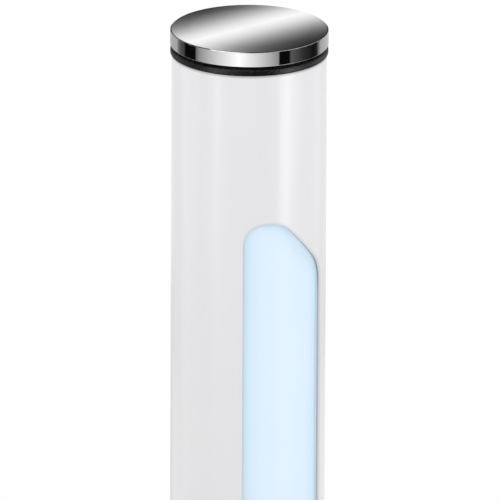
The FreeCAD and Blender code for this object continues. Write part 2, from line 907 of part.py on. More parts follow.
def driver_standoffs():
    """Four sleeves between the driver's board and the flat."""
    return [
        cross_rod(standoff_r, driver_back_y, core_flat_y, x, z).cut(
            cross_rod(small_shank_r + hole_fit, driver_back_y, core_flat_y, x, z)
        )
        for x, z in driver_holes()
    ]


def driver_screws():
    """Four screws through board and sleeves into the flat."""
    length = board_t + driver_stand + core_wall - stop_gap
    return [
        cross_screw(small_shank_r, length, small_head_r, small_head_h, driver_face_y, x, z)
        for x, z in driver_holes()
    ]


def driver_coil():
    """The driver's coil in its square frame, with its round core showing."""
    z = driver_z + coil_z
    half = coil_w / 2
    front = driver_face_y - coil_depth
    frame = block(-half, half, front, driver_face_y, z - half, z + half)
    floor = front + coil_well_depth
    well = cross_rod(coil_well_r, front, floor, 0, z)
    return frame.cut(well).fuse(cross_rod(coil_core_r, front, floor, 0, z))


def driver_capacitors():
    """Two upright cans beside each other above the coil."""
    front = driver_face_y - capacitor_l
    return [
        cross_rod(capacitor_r, front, driver_face_y, x, driver_z + capacitor_z)
        for x in (-capacitor_x, capacitor_x)
    ]


def driver_plugs():
    """The plugs for the touch lead and the LED lead, at the driver's upper edge."""
    front = driver_face_y - plug_t
    foot = driver_plug_z - plug_h
    half = plug_w / 2
    return [
        block(-half, half, front, driver_face_y, foot, driver_plug_z),
        block(led_plug_x - half, led_plug_x + half, front, driver_face_y, foot, driver_plug_z),
    ]


def supply_terminal():
    """The two-pole terminal for the supply lead, with its wire ways and screw wells."""
    half = terminal_w / 2
    foot = driver_z + terminal_z
    front = driver_face_y - terminal_depth
    middle = (front + driver_face_y) / 2
    body = block(-half, half, front, driver_face_y, foot, foot + terminal_h)
    for x in (-half / 2, half / 2):
        body = body.cut(rod(terminal_well_r, foot, foot + terminal_way_h, x, middle))
        floor = front + terminal_well_depth
        body = body.cut(cross_rod(terminal_well_r, front, floor, x, foot + terminal_h / 2))
    return body


def touch_lead():
    """The lead from the touch board down inside the profile, and out through its slot to the driver."""
    corners, bend_r = touch_route()
    return lead_along(corners, bend_r, touch_lead_r)


# Foot and base

def base_plug():
    """The turned plug in the column's foot, screwed to the profile above and to the base below."""
    body = tube(bore_r - slide_fit, centre_hole_r, column_foot, core_foot)
    for x in (-channel_x, channel_x):
        body = body.cut(rod(frame_shank_r + hole_fit, column_foot, core_foot, x, channel_y))
        body = body.cut(rod(frame_head_r + slide_fit, column_foot, column_foot + frame_head_h, x, channel_y))
    for x, y in around(base_screw_pitch_r, base_screw_degs):
        body = body.cut(rod(base_shank_r + hole_fit, column_foot, column_foot + base_bore_depth, x, y))
    return body


def core_screws_foot():
    """Two screws up through the plug into the profile's channels."""
    seat = column_foot + frame_head_h
    return [
        screw(frame_shank_r, frame_screw_l + plug_disc_t, frame_head_r, frame_head_h, seat, x, channel_y)
        for x in (-channel_x, channel_x)
    ]


def foot_ring():
    """The chrome ring round the column's foot."""
    inner = column_r + slide_fit
    outer = column_r + foot_ring_w
    return turned([
        (inner, base_crown, 0),
        (outer, base_crown, 0),
        (outer, base_crown + foot_ring_h, foot_ring_r),
        (inner, base_crown + foot_ring_h, thin_edge_r),
    ])


def base_cover():
    """The pressed steel cover of the base, nearly flat, with a round edge and a hole for the gland."""
    slope = (base_crown - base_edge_h) / (base_r - base_seat_r)
    inner_r = base_r - cover_wall
    inner_edge = base_edge_h + slope * cover_wall - cover_wall
    body = turned([
        (centre_hole_r, base_crown, 0),
        (base_seat_r, base_crown, base_seat_bend_r),
        (base_r, base_edge_h, base_edge_r),
        (base_r, base_lift, thin_edge_r),
        (inner_r, base_lift, thin_edge_r),
        (inner_r, inner_edge, base_edge_r - cover_wall),
        (base_seat_r, base_crown - cover_wall, base_seat_bend_r),
        (centre_hole_r, base_crown - cover_wall, 0),
    ])
    for x, y in around(base_screw_pitch_r, base_screw_degs):
        body = body.cut(rod(base_shank_r + slide_fit, base_crown - cover_wall, base_crown, x, y))
    return body.cut(cross_rod(gland_neck_r + hole_fit, weight_r, base_r, 0, gland_z))


def base_weight():
    """The cast weight, with a hub under the column, screw wells and a channel for the supply lead."""
    body = turned([
        (centre_hole_r, pad_t, 0),
        (weight_r, pad_t, 0),
        (weight_r, pad_t + weight_t, weight_edge_r),
        (weight_hub_r + weight_hub_flare, pad_t + weight_t, weight_hub_bend_r),
        (weight_hub_r, weight_hub_top, weight_edge_r / 2),
        (centre_hole_r, weight_hub_top, 0),
    ])
    well_top = base_seat_z + washer_t
    for x, y in around(base_screw_pitch_r, base_screw_degs):
        body = body.cut(rod(base_shank_r + slide_fit, pad_t, weight_hub_top, x, y))
        body = body.cut(rod(washer_r + slide_fit, pad_t, well_top, x, y))
    half = gland_lip_r
    return body.cut(block(-half, half, 0, weight_r, pad_t, gland_z + gland_lip_r))


def base_washers():
    """The washers under the base screws' heads."""
    top = base_seat_z + washer_t
    places = around(base_screw_pitch_r, base_screw_degs)
    return [tube(washer_r, base_shank_r + slide_fit, top - washer_t, top, x, y) for x, y in places]


def base_screws():
    """Three screws up through the weight and the cover into the plug."""
    length = column_foot + base_screw_grip - base_seat_z
    places = around(base_screw_pitch_r, base_screw_degs)
    return [screw(base_shank_r, length, base_head_r, base_head_h, base_seat_z, x, y) for x, y in places]


def floor_pad():
    """The foam pad that the lamp stands on."""
    return turned([
        (0, 0, 0),
        (weight_r, 0, pad_edge_r),
        (weight_r, pad_t, 0),
        (0, pad_t, 0),
    ])


def lead_gland():
    """The rubber gland in the base's rear edge, through which the supply lead enters."""
    face = base_r
    inner_face = math.sqrt((base_r - cover_wall)**2 - gland_lip_r**2)
    lip_out = cross_rod(gland_lip_r, face, face + gland_lip_t, 0, gland_z)
    rim = [e for e in lip_out.Edges if abs(e.BoundBox.YMin - face - gland_lip_t) < 0.01]
    lip_out = lip_out.makeFillet(gland_lip_t / 2, rim)
    neck = cross_rod(gland_neck_r, inner_face, face, 0, gland_z)
    lip_in = cross_rod(gland_lip_r, inner_face - gland_lip_t, inner_face, 0, gland_z)
    body = lip_out.fuse(neck).fuse(lip_in).removeSplitter()
    return body.cut(cross_rod(gland_bore_r, inner_face - gland_lip_t, face + gland_lip_t, 0, gland_z))


def main():
    os.makedirs("parts", exist_ok=True)

    save("touch_cap", touch_cap())
    save("cap_carrier", cap_carrier())
    save("cap_screws", *cap_screws())
    save("return_springs", *return_springs())

    save("touch_switch", touch_switch())
    save("switch_plunger", switch_plunger())
    save("touch_board", touch_board())
    save("touch_board_screws", *touch_board_screws())
    save("touch_plug", touch_plug())
    save("touch_chip", touch_chip())

    save("cap_ring", cap_ring())
    save("head_collar", head_collar())
    save("head_plate", head_plate())
    save("head_plate_screws", *head_plate_screws())
    save("core_screws_top", *core_screws_top())

    save("column_tube", column_tube())
    save("diffuser_tube", diffuser_tube())
    save("diffuser_ring_top", diffuser_ring(diffuser_top, 1))
    save("diffuser_ring_bottom", diffuser_ring(diffuser_foot, -1))
    save("diffuser_ring_screws", *diffuser_ring_screws())
    save("core_profile", core_profile())
    for place, foot in zip(("top", "middle", "bottom"), led_board_foots()):
        save(f"led_board_{place}", led_board(foot))
        save(f"led_chips_{place}", *led_chips(foot))
    save("led_board_links", *led_board_links())
    save("led_board_screws", *led_board_screws())
    save("reflector_left", reflector(-1))
    save("reflector_right", reflector(1))
    save("reflector_rivets", *reflector_rivets())
    save("led_plug", led_plug())
    save("led_lead", led_lead())

    save("driver_board", driver_board())
    save("driver_standoffs", *driver_standoffs())
    save("driver_screws", *driver_screws())
    save("driver_coil", driver_coil())
    save("driver_capacitors", *driver_capacitors())
    save("driver_plugs", *driver_plugs())
    save("supply_terminal", supply_terminal())
    save("touch_lead", touch_lead())

    save("base_plug", base_plug())
    save("core_screws_foot", *core_screws_foot())
    save("foot_ring", foot_ring())
    save("base_cover", base_cover())
    save("base_weight", base_weight())
    save("base_washers", *base_washers())
    save("base_screws", *base_screws())
    save("floor_pad", floor_pad())
    save("lead_gland", lead_gland())


main()
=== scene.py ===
import json
import math

import bpy
import numpy as np
from mathutils import Matrix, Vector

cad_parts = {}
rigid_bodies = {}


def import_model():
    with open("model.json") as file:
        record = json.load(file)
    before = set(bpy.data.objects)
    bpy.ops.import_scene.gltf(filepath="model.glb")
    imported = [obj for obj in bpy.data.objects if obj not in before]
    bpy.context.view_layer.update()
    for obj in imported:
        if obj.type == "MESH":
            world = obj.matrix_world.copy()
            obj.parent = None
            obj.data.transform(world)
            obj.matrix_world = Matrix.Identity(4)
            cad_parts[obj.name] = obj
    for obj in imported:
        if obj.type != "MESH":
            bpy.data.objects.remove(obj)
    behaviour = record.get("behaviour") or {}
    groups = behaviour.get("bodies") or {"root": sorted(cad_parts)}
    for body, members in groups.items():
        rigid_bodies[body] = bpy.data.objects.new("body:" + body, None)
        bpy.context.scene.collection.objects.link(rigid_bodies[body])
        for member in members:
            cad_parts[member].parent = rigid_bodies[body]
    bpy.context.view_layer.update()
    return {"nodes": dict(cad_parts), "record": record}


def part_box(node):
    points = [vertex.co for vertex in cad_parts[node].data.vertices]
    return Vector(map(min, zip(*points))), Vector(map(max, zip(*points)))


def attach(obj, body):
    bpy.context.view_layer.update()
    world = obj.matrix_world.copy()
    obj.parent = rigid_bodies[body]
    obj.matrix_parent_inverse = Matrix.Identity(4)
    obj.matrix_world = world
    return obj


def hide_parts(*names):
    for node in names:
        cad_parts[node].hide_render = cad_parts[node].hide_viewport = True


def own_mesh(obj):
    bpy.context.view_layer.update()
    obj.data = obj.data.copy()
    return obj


for left_over in list(bpy.data.objects):
    bpy.data.objects.remove(left_over)

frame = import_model()

MM = 0.001
DEGREES = 180.0 / math.pi

# where the camera stands: turned from the lamp's front, and above the level
CAMERA_TURN = math.radians(30.8)
CAMERA_RISE = math.radians(18.4)
CAMERA_ROLL = math.radians(0.26)
CAMERA_REACH = 8.0
CAMERA_SEES_TO = 100.0
PICTURE_WIDTH = 193.3 * MM
FILM_WIDTH = 36.0
AIM_HEIGHT = 1109.3 * MM
AIM_RIGHT = 0.607 * MM

TOWARDS_CAMERA = np.array([-math.sin(CAMERA_TURN), -math.cos(CAMERA_TURN), 0.0])
CAMERA_RIGHT = np.array([math.cos(CAMERA_TURN), -math.sin(CAMERA_TURN), 0.0])
UP = np.array([0.0, 0.0, 1.0])

# the floor: its radius, its own grey, its share of the white behind it, and from where to where it fades into that
FLOOR_RADIUS = 1.7
FLOOR_SIDES = 96
FLOOR_GREY = 0.62
FLOOR_GLOW = 0.4
FLOOR_FADE = (0.7, 1.6)

# upright strips of light, which only gloss shows: turn from the camera and width, both in degrees, foot and head in
# metres, and level
STRIPS = [
    (-100.0, 36.0, 0.9, 1.4, 1.3), (-47.0, 12.0, 0.96, 1.4, 4.2), (57.0, 20.0, 0.86, 1.4, 5.0),
    (-150.0, 90.0, 0.9, 1.5, 0.5), (-40.0, 90.0, 0.9, 1.5, 1.5), (40.0, 90.0, 0.9, 1.5, 1.5),
    (100.0, 60.0, 0.9, 1.5, 1.1), (150.0, 50.0, 0.9, 1.5, 0.4), (-125.0, 50.0, 0.02, 0.86, 0.6),
    (-92.0, 40.0, 0.02, 2.0, 0.6), (55.0, 15.0, 0.02, 2.0, 1.0), (95.0, 60.0, 0.02, 2.0, 0.6),
    (145.0, 60.0, 0.02, 0.86, 0.5),
]
RUBBER_STRIPS = [
    (-100.0, 60.0, 0.9, 1.4, 1.2), (-47.0, 12.0, 0.9, 1.4, 22.0), (60.0, 20.0, 0.86, 1.4, 18.0),
    (105.0, 60.0, 0.9, 1.4, 1.6), (-8.0, 70.0, 1.4, 1.9, 4.0),
]
STRIP_REACH = 0.6

# the walls that polished metal shows: turn from the camera in degrees, and level
WALLS = [
    (-180, 0.58), (-150, 0.44), (-132, 0.42), (-126, 0.17), (-118, 0.075), (-110.5, 0.06), (-107.5, 0.003),
    (-85.8, 0.003), (-84.2, 0.14), (-78, 0.3), (-50, 0.655), (-15, 1.13), (43.5, 0.28), (44.5, 0.003), (61, 0.003),
    (63.5, 0.1), (85, 0.031), (107, 0.006), (117, 0.015), (128.5, 0.42), (180, 0.65),
]

# what the cap's rolled edge shows: turn round the cap from the camera in degrees, and level
EDGE = [
    (-34, 0.02), (-30.5, 0.02), (-29, 2.4), (-18, 2.2), (-8, 1.6), (-3, 0.8), (1, 0.1), (14, 0.1), (22, 0.5),
    (60, 0.6), (75, 0.3),
]

# the slanted bright band that the cap's top shows. Its unit is the way from the middle of the top to the edge, which
# is a turn of BAND_TURN and a rise of BAND_RISE degrees in the mirror
BAND_TURN = 1.94
BAND_RISE = 6.0
BAND_LEAN = math.radians(38.2)
BAND_BEND = 0.11
BAND_PLACE = 0.088
BAND_WIDE = 0.53
BAND_FALL = 1.83  # the power by which it fades to its sides
BAND_CREST = 0.07  # a fine brighter line along its middle, and how fast that fades
BAND_CREST_FALL = 9.0
BAND_SQUEEZE = 0.6  # how much narrower it gets for each unit further out than BAND_SQUEEZE_FROM
BAND_SQUEEZE_FROM = 0.83
BAND_AGAIN = 3.75  # further round it comes again, mirrored, each time after twice this turn in degrees

# where one part of the studio gives way to the next: rises above the level and turns from straight behind, both in
# degrees, reaches in the band's unit, and asides, which are sines of the way to the right
WALLS_END_RISE = (5.0, 9.0)
CARD_RISE = (-10.0, -6.0)
CARD_END_RISE = (13.5, 16.5)
CARD_END_REACH = (1.1, 1.35)
BAND_END_REACH = (1.6, 3.0)
BACK_TURN = (8.0, 11.0)
AGAIN_TURN = (30.0, 45.0)
AGAIN_END_RISE = (29.0, 34.0)
LEFT_ASIDE = (-0.12, 0.02)
RIGHT_ASIDE = (0.02, 0.1)
RIGHT_RISE = (28.0, 32.0)
CARD_LEVEL = 1.1
LEFT_FAR_LEVEL = 0.17
LEFT_NEAR_LEVEL = 0.03
RIGHT_LEVEL = 0.35

# the rolled edge in that studio, by the slope of its facets in degrees: where it begins and ends, and where its dark
# top gives way to EDGE. Its facets face the camera, and what they throw back goes high up or nearly straight behind
ROLL_BEGINS = (3.2, 4.4)
ROLL_ENDS = (77.0, 80.0)
ROLL_TURNS = (22.0, 32.0)
ROLL_FACING = (0.0, 0.03)
ROLL_RISE = (34.0, 40.0)
ROLL_BACK_TURN = (20.0, 30.0)
ROLL_TOP_LEVEL = 0.015

# the wire springs under the cap
SPRING_RING = 17.3 * MM
SPRING_SEATS = (30, 150, 270)
SPRING_COIL_R = 3.0 * MM
SPRING_WIRE_R = 0.3 * MM
SPRING_TURNS = 7
SPRING_STEPS = 40  # rings of points in one turn
SPRING_SIDES = 10

# the driver's coil, and the wire wound in its well
COIL_HEIGHT = 134.0 * MM
COIL_WELL_R = 5.5 * MM
COIL_CORE_R = 2.5 * MM
COIL_WELL_DEPTH = 6.0 * MM
COIL_RIM = 0.05 * MM
WINDING_WIRE = 0.5 * MM
WINDING_SWELL = 0.2  # of the wire's width
WINDING_CLEAR = 0.3 * MM
WINDING_FRONT = 1.2 * MM
WINDING_BACK = 0.1 * MM
WINDING_WIRE_STEPS = 8
WINDING_STEPS = 64

# sizes of the column and its window, as the model has them
COLUMN_R = 30.0 * MM
COLUMN_TOP = 1189.5 * MM
WINDOW_HALF = 18.25 * MM
WINDOW_LOW = 240.0 * MM
WINDOW_HIGH = 1129.5 * MM
SLANT_WIDE = 21.0 * MM
SLANT_HIGH = 21.6 * MM
SLANT_LONG = math.hypot(SLANT_WIDE, SLANT_HIGH)
SLANT_ACROSS = SLANT_WIDE / SLANT_LONG
SLANT_DOWN = SLANT_HIGH / SLANT_LONG
ROUND_END = 8.5 * MM
ROUND_TOP = 10.0 * MM
ROUND_SIDE = 16.0 * MM

# the lacquer, in pairs from where a look begins to where it is full: depths in the window's cut at which its painted
# grey shade sets in and at which painted light from the panel sets in, heights at which the cut's painted shade
# darkens towards its corner, and the painted shadow under the ring
CUT_FACE_DEPTH = (0.06 * MM, 0.5 * MM)
CUT_LIT = (0.75 * MM, 1.1 * MM)
CUT_DARK = (WINDOW_HIGH - SLANT_HIGH - 16 * MM, WINDOW_HIGH - SLANT_HIGH - 2 * MM)
RING_SHADE_HEIGHT = (COLUMN_TOP - 1.2 * MM, COLUMN_TOP - 0.2 * MM)
RING_SHADE_SHARE = 0.8

# the margin of painted shade beside the cut, a soft grey line: its width, where along the wall it widens to twice
# that, where along it the margin comes to its full share, and its outer and inner edge, in widths outside the window
MARGIN_WIDE = 1.1 * MM
MARGIN_WIDENS = (10 * MM, WINDOW_HALF)
MARGIN_FULL = (-WINDOW_HALF, 12 * MM)
MARGIN_OUTER = (1.0, 0.2)
MARGIN_INNER = (-0.1, -0.4)
MARGIN_SHADE_SHARE = 0.4

# the wall's shade, painted into the panel's glow: the distance from the wall below which it is even, how far it
# reaches from a side and from an end, the strip at the right that is spared of it, and the painted dark line of shade
# at the rim, which lies a little low and weakens to the right
FADE_NEAREST = 1.9 * MM
FADE_SIDE = 3.4 * MM
FADE_END = 1.6 * MM
SPARED_SIDE = (2.8 * MM, 0.8 * MM)
SPARED_ALONG = (0.0, 6 * MM)
SPARED_SHARE = 0.35
RIM_LIFT = 0.8 * MM
RIM_WIDE = (1.5 * MM, 0.0)
RIM_WEAKENS = (-4 * MM, 5 * MM)
RIM_WEAKENS_SHARE = 0.8


class Port:
    """One output of a shader node. Arithmetic on it adds Math nodes to the same tree."""

    def __init__(self, tree, socket=None):
        self.tree = tree
        self.socket = socket

    def node(self, kind, settings=None, values=None, out=0):
        """Adds a node: first its settings, or a ramp's stops, and then a value or a link for each input named."""
        new = self.tree.nodes.new(kind)
        for key, value in (settings or {}).items():
            if key == "stops":
                ramp = new.color_ramp
                while len(ramp.elements) < len(value):
                    ramp.elements.new(1.0)
                for stop, (place, colour) in zip(ramp.elements, value):
                    stop.position = place
                    stop.color = colour
            else:
                setattr(new, key, value)
        for key, value in (values or {}).items():
            if isinstance(value, Port):
                self.tree.links.new(value.socket, new.inputs[key])
            else:
                new.inputs[key].default_value = value
        return Port(self.tree, new.outputs[out] if len(new.outputs) else None)

    def math(self, operation, *terms):
        return self.node("ShaderNodeMath", {"operation": operation}, dict(enumerate(terms)))

    def __add__(self, other):
        return self.math("ADD", self, other)

    __radd__ = __add__

    def __sub__(self, other):
        return self.math("SUBTRACT", self, other)

    def __rsub__(self, other):
        return self.math("SUBTRACT", other, self)

    def __mul__(self, other):
        return self.math("MULTIPLY", self, other)

    __rmul__ = __mul__

    def __truediv__(self, other):
        return self.math("DIVIDE", self, other)

    def __neg__(self):
        return self.math("MULTIPLY", self, -1.0)

    def __abs__(self):
        return self.math("ABSOLUTE", self)

    def step(self, low, high):
        """Runs smoothly from 0 at low to 1 at high."""
        return self.node(
            "ShaderNodeMapRange", {"interpolation_type": "SMOOTHSTEP"},
            {"Value": self, "From Min": low, "From Max": high, "To Min": 0.0, "To Max": 1.0},
        )

    def least(self, other):
        return self.math("MINIMUM", self, other)

    def most(self, other):
        return self.math("MAXIMUM", self, other)

    def axes(self):
        """The three parts of a vector."""
        return [self.node("ShaderNodeSeparateXYZ", values={0: self}, out=axis) for axis in range(3)]

    def stretch(self, x, y, z):
        """A vector times a number along each axis."""
        return self.node("ShaderNodeVectorMath", {"operation": "MULTIPLY"}, {0: self, 1: (x, y, z)})

    def place(self):
        return self.node("ShaderNodeTexCoord", out="Object")

    def grain(self, size, detail=2.0, roughness=0.5, stretch=(1.0, 1.0, 1.0)):
        """Soft noise from 0 to 1, with patches about as wide as size."""
        return self.node(
            "ShaderNodeTexNoise",
            values={
                "Vector": self.place().stretch(*stretch), "Scale": 1.0 / size, "Detail": detail,
                "Roughness": roughness,
            },
        )

    def cells(self, size, feature="F1"):
        """The distance from the middle, or from the edge, of cells about as wide as size."""
        return self.node(
            "ShaderNodeTexVoronoi", {"feature": feature}, {"Vector": self.place(), "Scale": 1.0 / size},
        )

    def mix(self, first, second, share):
        """A colour that runs from first to second with share."""
        return self.node(
            "ShaderNodeMix", {"data_type": "RGBA", "clamp_factor": True}, {0: share, 6: first, 7: second}, out=2,
        )

    def bump(self, height, depth, strength=1.0):
        """A normal that follows height, whose value 1 stands depth metres proud."""
        return self.node("ShaderNodeBump", values={"Height": height, "Distance": depth, "Strength": strength})


def rgb(red, green, blue):
    return (red, green, blue, 1.0)


def grey(level):
    return (level, level, level, 1.0)


def finish(name, even, varied):
    """A Principled material: even holds the sockets that are the same all over, varied(port) gives the rest."""
    material = bpy.data.materials.new(name)
    material.use_nodes = True
    tree = material.node_tree
    shader = next(n for n in tree.nodes if n.type == "BSDF_PRINCIPLED")
    for key, value in even.items():
        shader.inputs[key].default_value = value
    for key, port in varied(Port(tree)).items():
        tree.links.new(port.socket, shader.inputs[key])
    return material


# ---------------------------------------------------------------- finishes


def chrome_varied(t):
    """Mirror chrome: cloudy traces of the last polish and a faint haze of fine lines in no one direction."""
    haze = t.grain(9 * MM, detail=3.0)
    lines = t.grain(0.35 * MM, stretch=(1.0, 0.25, 1.0))
    return {
        "Base Color": t.mix(rgb(0.87, 0.87, 0.88), rgb(0.91, 0.91, 0.915), haze),
        "Roughness": haze * 0.02 + lines * 0.012 + 0.012,
    }


def lacquer_varied(t):
    """Gloss white lacquer: an orange peel of low waves and a trace of unevenness in the white."""
    peel = t.grain(1.9 * MM, detail=1.0)
    cloud = t.grain(45 * MM)
    return {
        "Base Color": t.mix(rgb(0.772, 0.773, 0.787), rgb(0.792, 0.791, 0.803), cloud),
        "Roughness": t.grain(14 * MM) * 0.05 + 0.28,
        "Normal": t.bump(peel, depth=0.006 * MM),
    }


def from_slant(aside, inward):
    """How far a point lies from the line of the window's slant: aside is its place to the slant's side of the middle
    line, and inward its distance from the end."""
    return (WINDOW_HALF - SLANT_WIDE - aside) * SLANT_DOWN + inward * SLANT_ACROSS


def inside_window(t, along, z):
    """How far inside the window's outline a point of the wall is, and how far outside as a negative number: the least
    distance from its sides, or, at a rounded corner, the corner's radius less the distance from its middle. The lower
    half is the upper half turned half a turn."""
    up = z - (WINDOW_HIGH + WINDOW_LOW) / 2
    aside = along * t.math("SIGN", up)
    top = (WINDOW_HIGH - WINDOW_LOW) / 2 - abs(up)
    slant = from_slant(aside, top)

    def corner(one, two, radius, cosine):
        one_past, two_past = radius - one, radius - two
        wedge = t.math("GREATER_THAN", one_past, two_past * cosine)
        wedge = wedge * t.math("GREATER_THAN", two_past, one_past * cosine)
        away = one_past * one_past + two_past * two_past - one_past * two_past * (2 * cosine)
        away = t.math("SQRT", away.most(0.0)) / math.sqrt(1 - cosine * cosine)
        return wedge * (radius - away) + (1.0 - wedge) * one.least(two)

    near = corner(aside + WINDOW_HALF, top, ROUND_END, 0.0)
    near = near.least(corner(top, slant, ROUND_TOP, SLANT_ACROSS))
    return near.least(corner(slant, WINDOW_HALF - aside, ROUND_SIDE, SLANT_DOWN))


def column_varied(t):
    """The column's lacquer, with painted shade and light. The window's cut is painted grey as shade, darker towards
    its corner and a little rougher, and its inner edge is painted with the panel's blue light; a grey line of painted
    shade lies on a margin beside the cut, and a painted shadow lies right under the ring."""
    out = lacquer_varied(t)
    x, y, z = t.place().axes()
    along = t.math("ARCTAN2", x, -y) * COLUMN_R
    depth = COLUMN_R - t.math("SQRT", x * x + y * y)
    cut_face = depth.step(*CUT_FACE_DEPTH)
    lit = depth.step(*CUT_LIT)
    # painted shade: a soft grey line on the lacquer beside the cut
    past = -inside_window(t, along, z) / (along.step(*MARGIN_WIDENS) * MARGIN_WIDE + MARGIN_WIDE)
    margin_shade = (past.step(*MARGIN_OUTER) - past.step(*MARGIN_INNER)) * along.step(*MARGIN_FULL) * MARGIN_SHADE_SHARE
    # painted shadow: the lacquer is darkened right under the ring
    ring_shade = z.step(*RING_SHADE_HEIGHT) * RING_SHADE_SHARE
    # painted shade: the cut face is painted grey, darker towards its corner
    cut_shade_grey = t.mix(rgb(0.42, 0.43, 0.44), rgb(0.25, 0.26, 0.27), z.step(*CUT_DARK) * cut_face)
    out["Base Color"] = t.mix(out["Base Color"], cut_shade_grey, cut_face.most(ring_shade).most(margin_shade))
    # painted light: the cut's inner edge is painted with the panel's blue light
    out["Base Color"] = t.mix(out["Base Color"], rgb(0.66, 0.73, 0.80), lit)
    out["Roughness"] = out["Roughness"] + cut_face * 0.15
    return out


def opal_varied(t):
    """Lit opal: even over the window, with painted shade in its glow that fades it bluer towards the wall, as the
    power of distance, and a painted dark line at its rim.
    """
    x, y, z = t.place().axes()
    along = t.math("ARCTAN2", x, -y) * COLUMN_R
    down, up = WINDOW_HIGH - z, z - WINDOW_LOW
    from_side = (WINDOW_HALF - abs(along)).least(from_slant(along, down)).least(from_slant(-along, up))
    from_end = down.least(up)

    def fade(distance, reach):
        return t.math("EXPONENT", distance.most(FADE_NEAREST) * (-1.0 / reach))

    spared = from_side.step(*SPARED_SIDE) * along.step(*SPARED_ALONG)
    # painted shade: the glow is dimmed and bluer near the wall, less so on a strip at the right
    shaded = fade(from_side, FADE_SIDE) + fade(from_end, FADE_END) - spared * SPARED_SHARE
    # painted shade: a dark line along the window's rim
    rim = inside_window(t, along, z + RIM_LIFT).step(*RIM_WIDE)
    rim = rim * (1.0 - along.step(*RIM_WEAKENS) * RIM_WEAKENS_SHARE)
    glow = t.mix(rgb(0.385, 0.495, 0.600), rgb(0.215, 0.385, 0.50), shaded)
    return {
        "Base Color": t.mix(rgb(0.36, 0.38, 0.40), rgb(0.39, 0.405, 0.42), t.grain(30 * MM)),
        "Roughness": t.grain(3 * MM) * 0.08 + 0.3,
        "Emission Color": t.mix(glow, rgb(0.27, 0.335, 0.385), rim),
        "Normal": t.bump(t.grain(0.5 * MM), depth=0.004 * MM),
    }


def rubber_varied(t):
    """Satin black rubber with a fine sand texture from its mould, whose tops are worn a little paler."""
    sand = t.grain(1.1 * MM, detail=3.0, roughness=0.7)
    bloom = t.grain(6 * MM, detail=3.0)
    return {
        "Base Color": t.mix(rgb(0.0005, 0.0005, 0.0006), rgb(0.012, 0.012, 0.0123), sand.step(0.45, 0.7)),
        "Roughness": bloom * 0.1 + sand * 0.08 + 0.2,
        "Normal": t.bump(sand, depth=0.22 * MM),
    }


def moulded(dark, light, rough, texture=0.35 * MM, depth=0.012 * MM):
    """Moulded plastic: a spark texture, and flow marks that shift its shade a little."""

    def varied(t):
        spark = t.grain(texture, detail=3.0, roughness=0.6)
        flow = t.grain(12 * MM, stretch=(1.0, 1.0, 0.3))
        return {
            "Base Color": t.mix(dark, light, flow),
            "Roughness": spark * 0.14 + flow * 0.06 + rough,
            "Normal": t.bump(spark, depth),
        }

    return varied


def drawn_varied(t):
    """Extruded aluminium: long fine die lines up the profile over a dull silver."""
    lines = t.grain(0.25 * MM, stretch=(1.0, 1.0, 0.006))
    patch = t.grain(15 * MM, detail=3.0)
    return {
        "Base Color": t.mix(rgb(0.70, 0.70, 0.71), rgb(0.84, 0.84, 0.85), lines * 0.7 + patch * 0.3),
        "Roughness": lines * 0.18 + patch * 0.1 + 0.24,
        "Normal": t.bump(lines, depth=0.012 * MM),
    }


def zinc_varied(t):
    """Bright zinc plate: small crystals that differ in shade, with a trace of yellow."""
    spangle = t.math("FRACT", t.cells(0.5 * MM) * 7.0)
    cloud = t.grain(2.5 * MM, detail=3.0)
    return {
        "Base Color": t.mix(rgb(0.60, 0.61, 0.64), rgb(0.74, 0.745, 0.73), spangle * 0.4 + cloud * 0.6),
        "Roughness": spangle * 0.1 + cloud * 0.16 + 0.16,
        "Normal": t.bump(cloud, depth=0.01 * MM),
    }


def spring_varied(t):
    """Drawn spring steel: fine lines round the coil and a grey-brown temper."""
    lines = t.grain(0.12 * MM, stretch=(0.3, 0.3, 1.0))
    return {
        "Base Color": t.mix(rgb(0.36, 0.35, 0.34), rgb(0.54, 0.54, 0.55), lines),
        "Roughness": lines * 0.2 + 0.24,
        "Normal": t.bump(lines, depth=0.006 * MM),
    }


def board_varied(dark, light, copper):
    """A solder mask over a woven core, with the copper tracks showing through as paler runs."""
    thread = 2 * math.pi / (0.9 * MM)

    def varied(t):
        x, _, z = t.place().axes()
        weave = t.math("SINE", x * thread) * t.math("SINE", z * thread)
        cell = t.cells(4.5 * MM, "DISTANCE_TO_EDGE").step(0.05, 0.09)
        return {
            "Base Color": t.mix(t.mix(copper, dark, cell), light, weave * 0.15 + 0.2),
            "Roughness": t.grain(5 * MM) * 0.12 + 0.28,
            "Normal": t.bump(1.0 - cell, depth=0.03 * MM),
        }

    return varied


def phosphor_varied(t):
    """Yellow phosphor grains in clear resin."""
    grains = t.cells(0.08 * MM)
    return {
        "Base Color": t.mix(rgb(0.86, 0.70, 0.20), rgb(0.95, 0.86, 0.45), grains),
        "Roughness": grains * 0.15 + 0.18,
        "Normal": t.bump(grains, depth=0.01 * MM),
    }


def reflector_varied(t):
    """Powder-coated white sheet with a close pebbled skin."""
    pebble = t.cells(0.55 * MM)
    return {
        "Base Color": t.mix(rgb(0.84, 0.84, 0.84), rgb(0.90, 0.90, 0.895), t.grain(20 * MM)),
        "Roughness": pebble * 0.15 + 0.5,
        "Normal": t.bump(pebble, depth=0.03 * MM),
    }


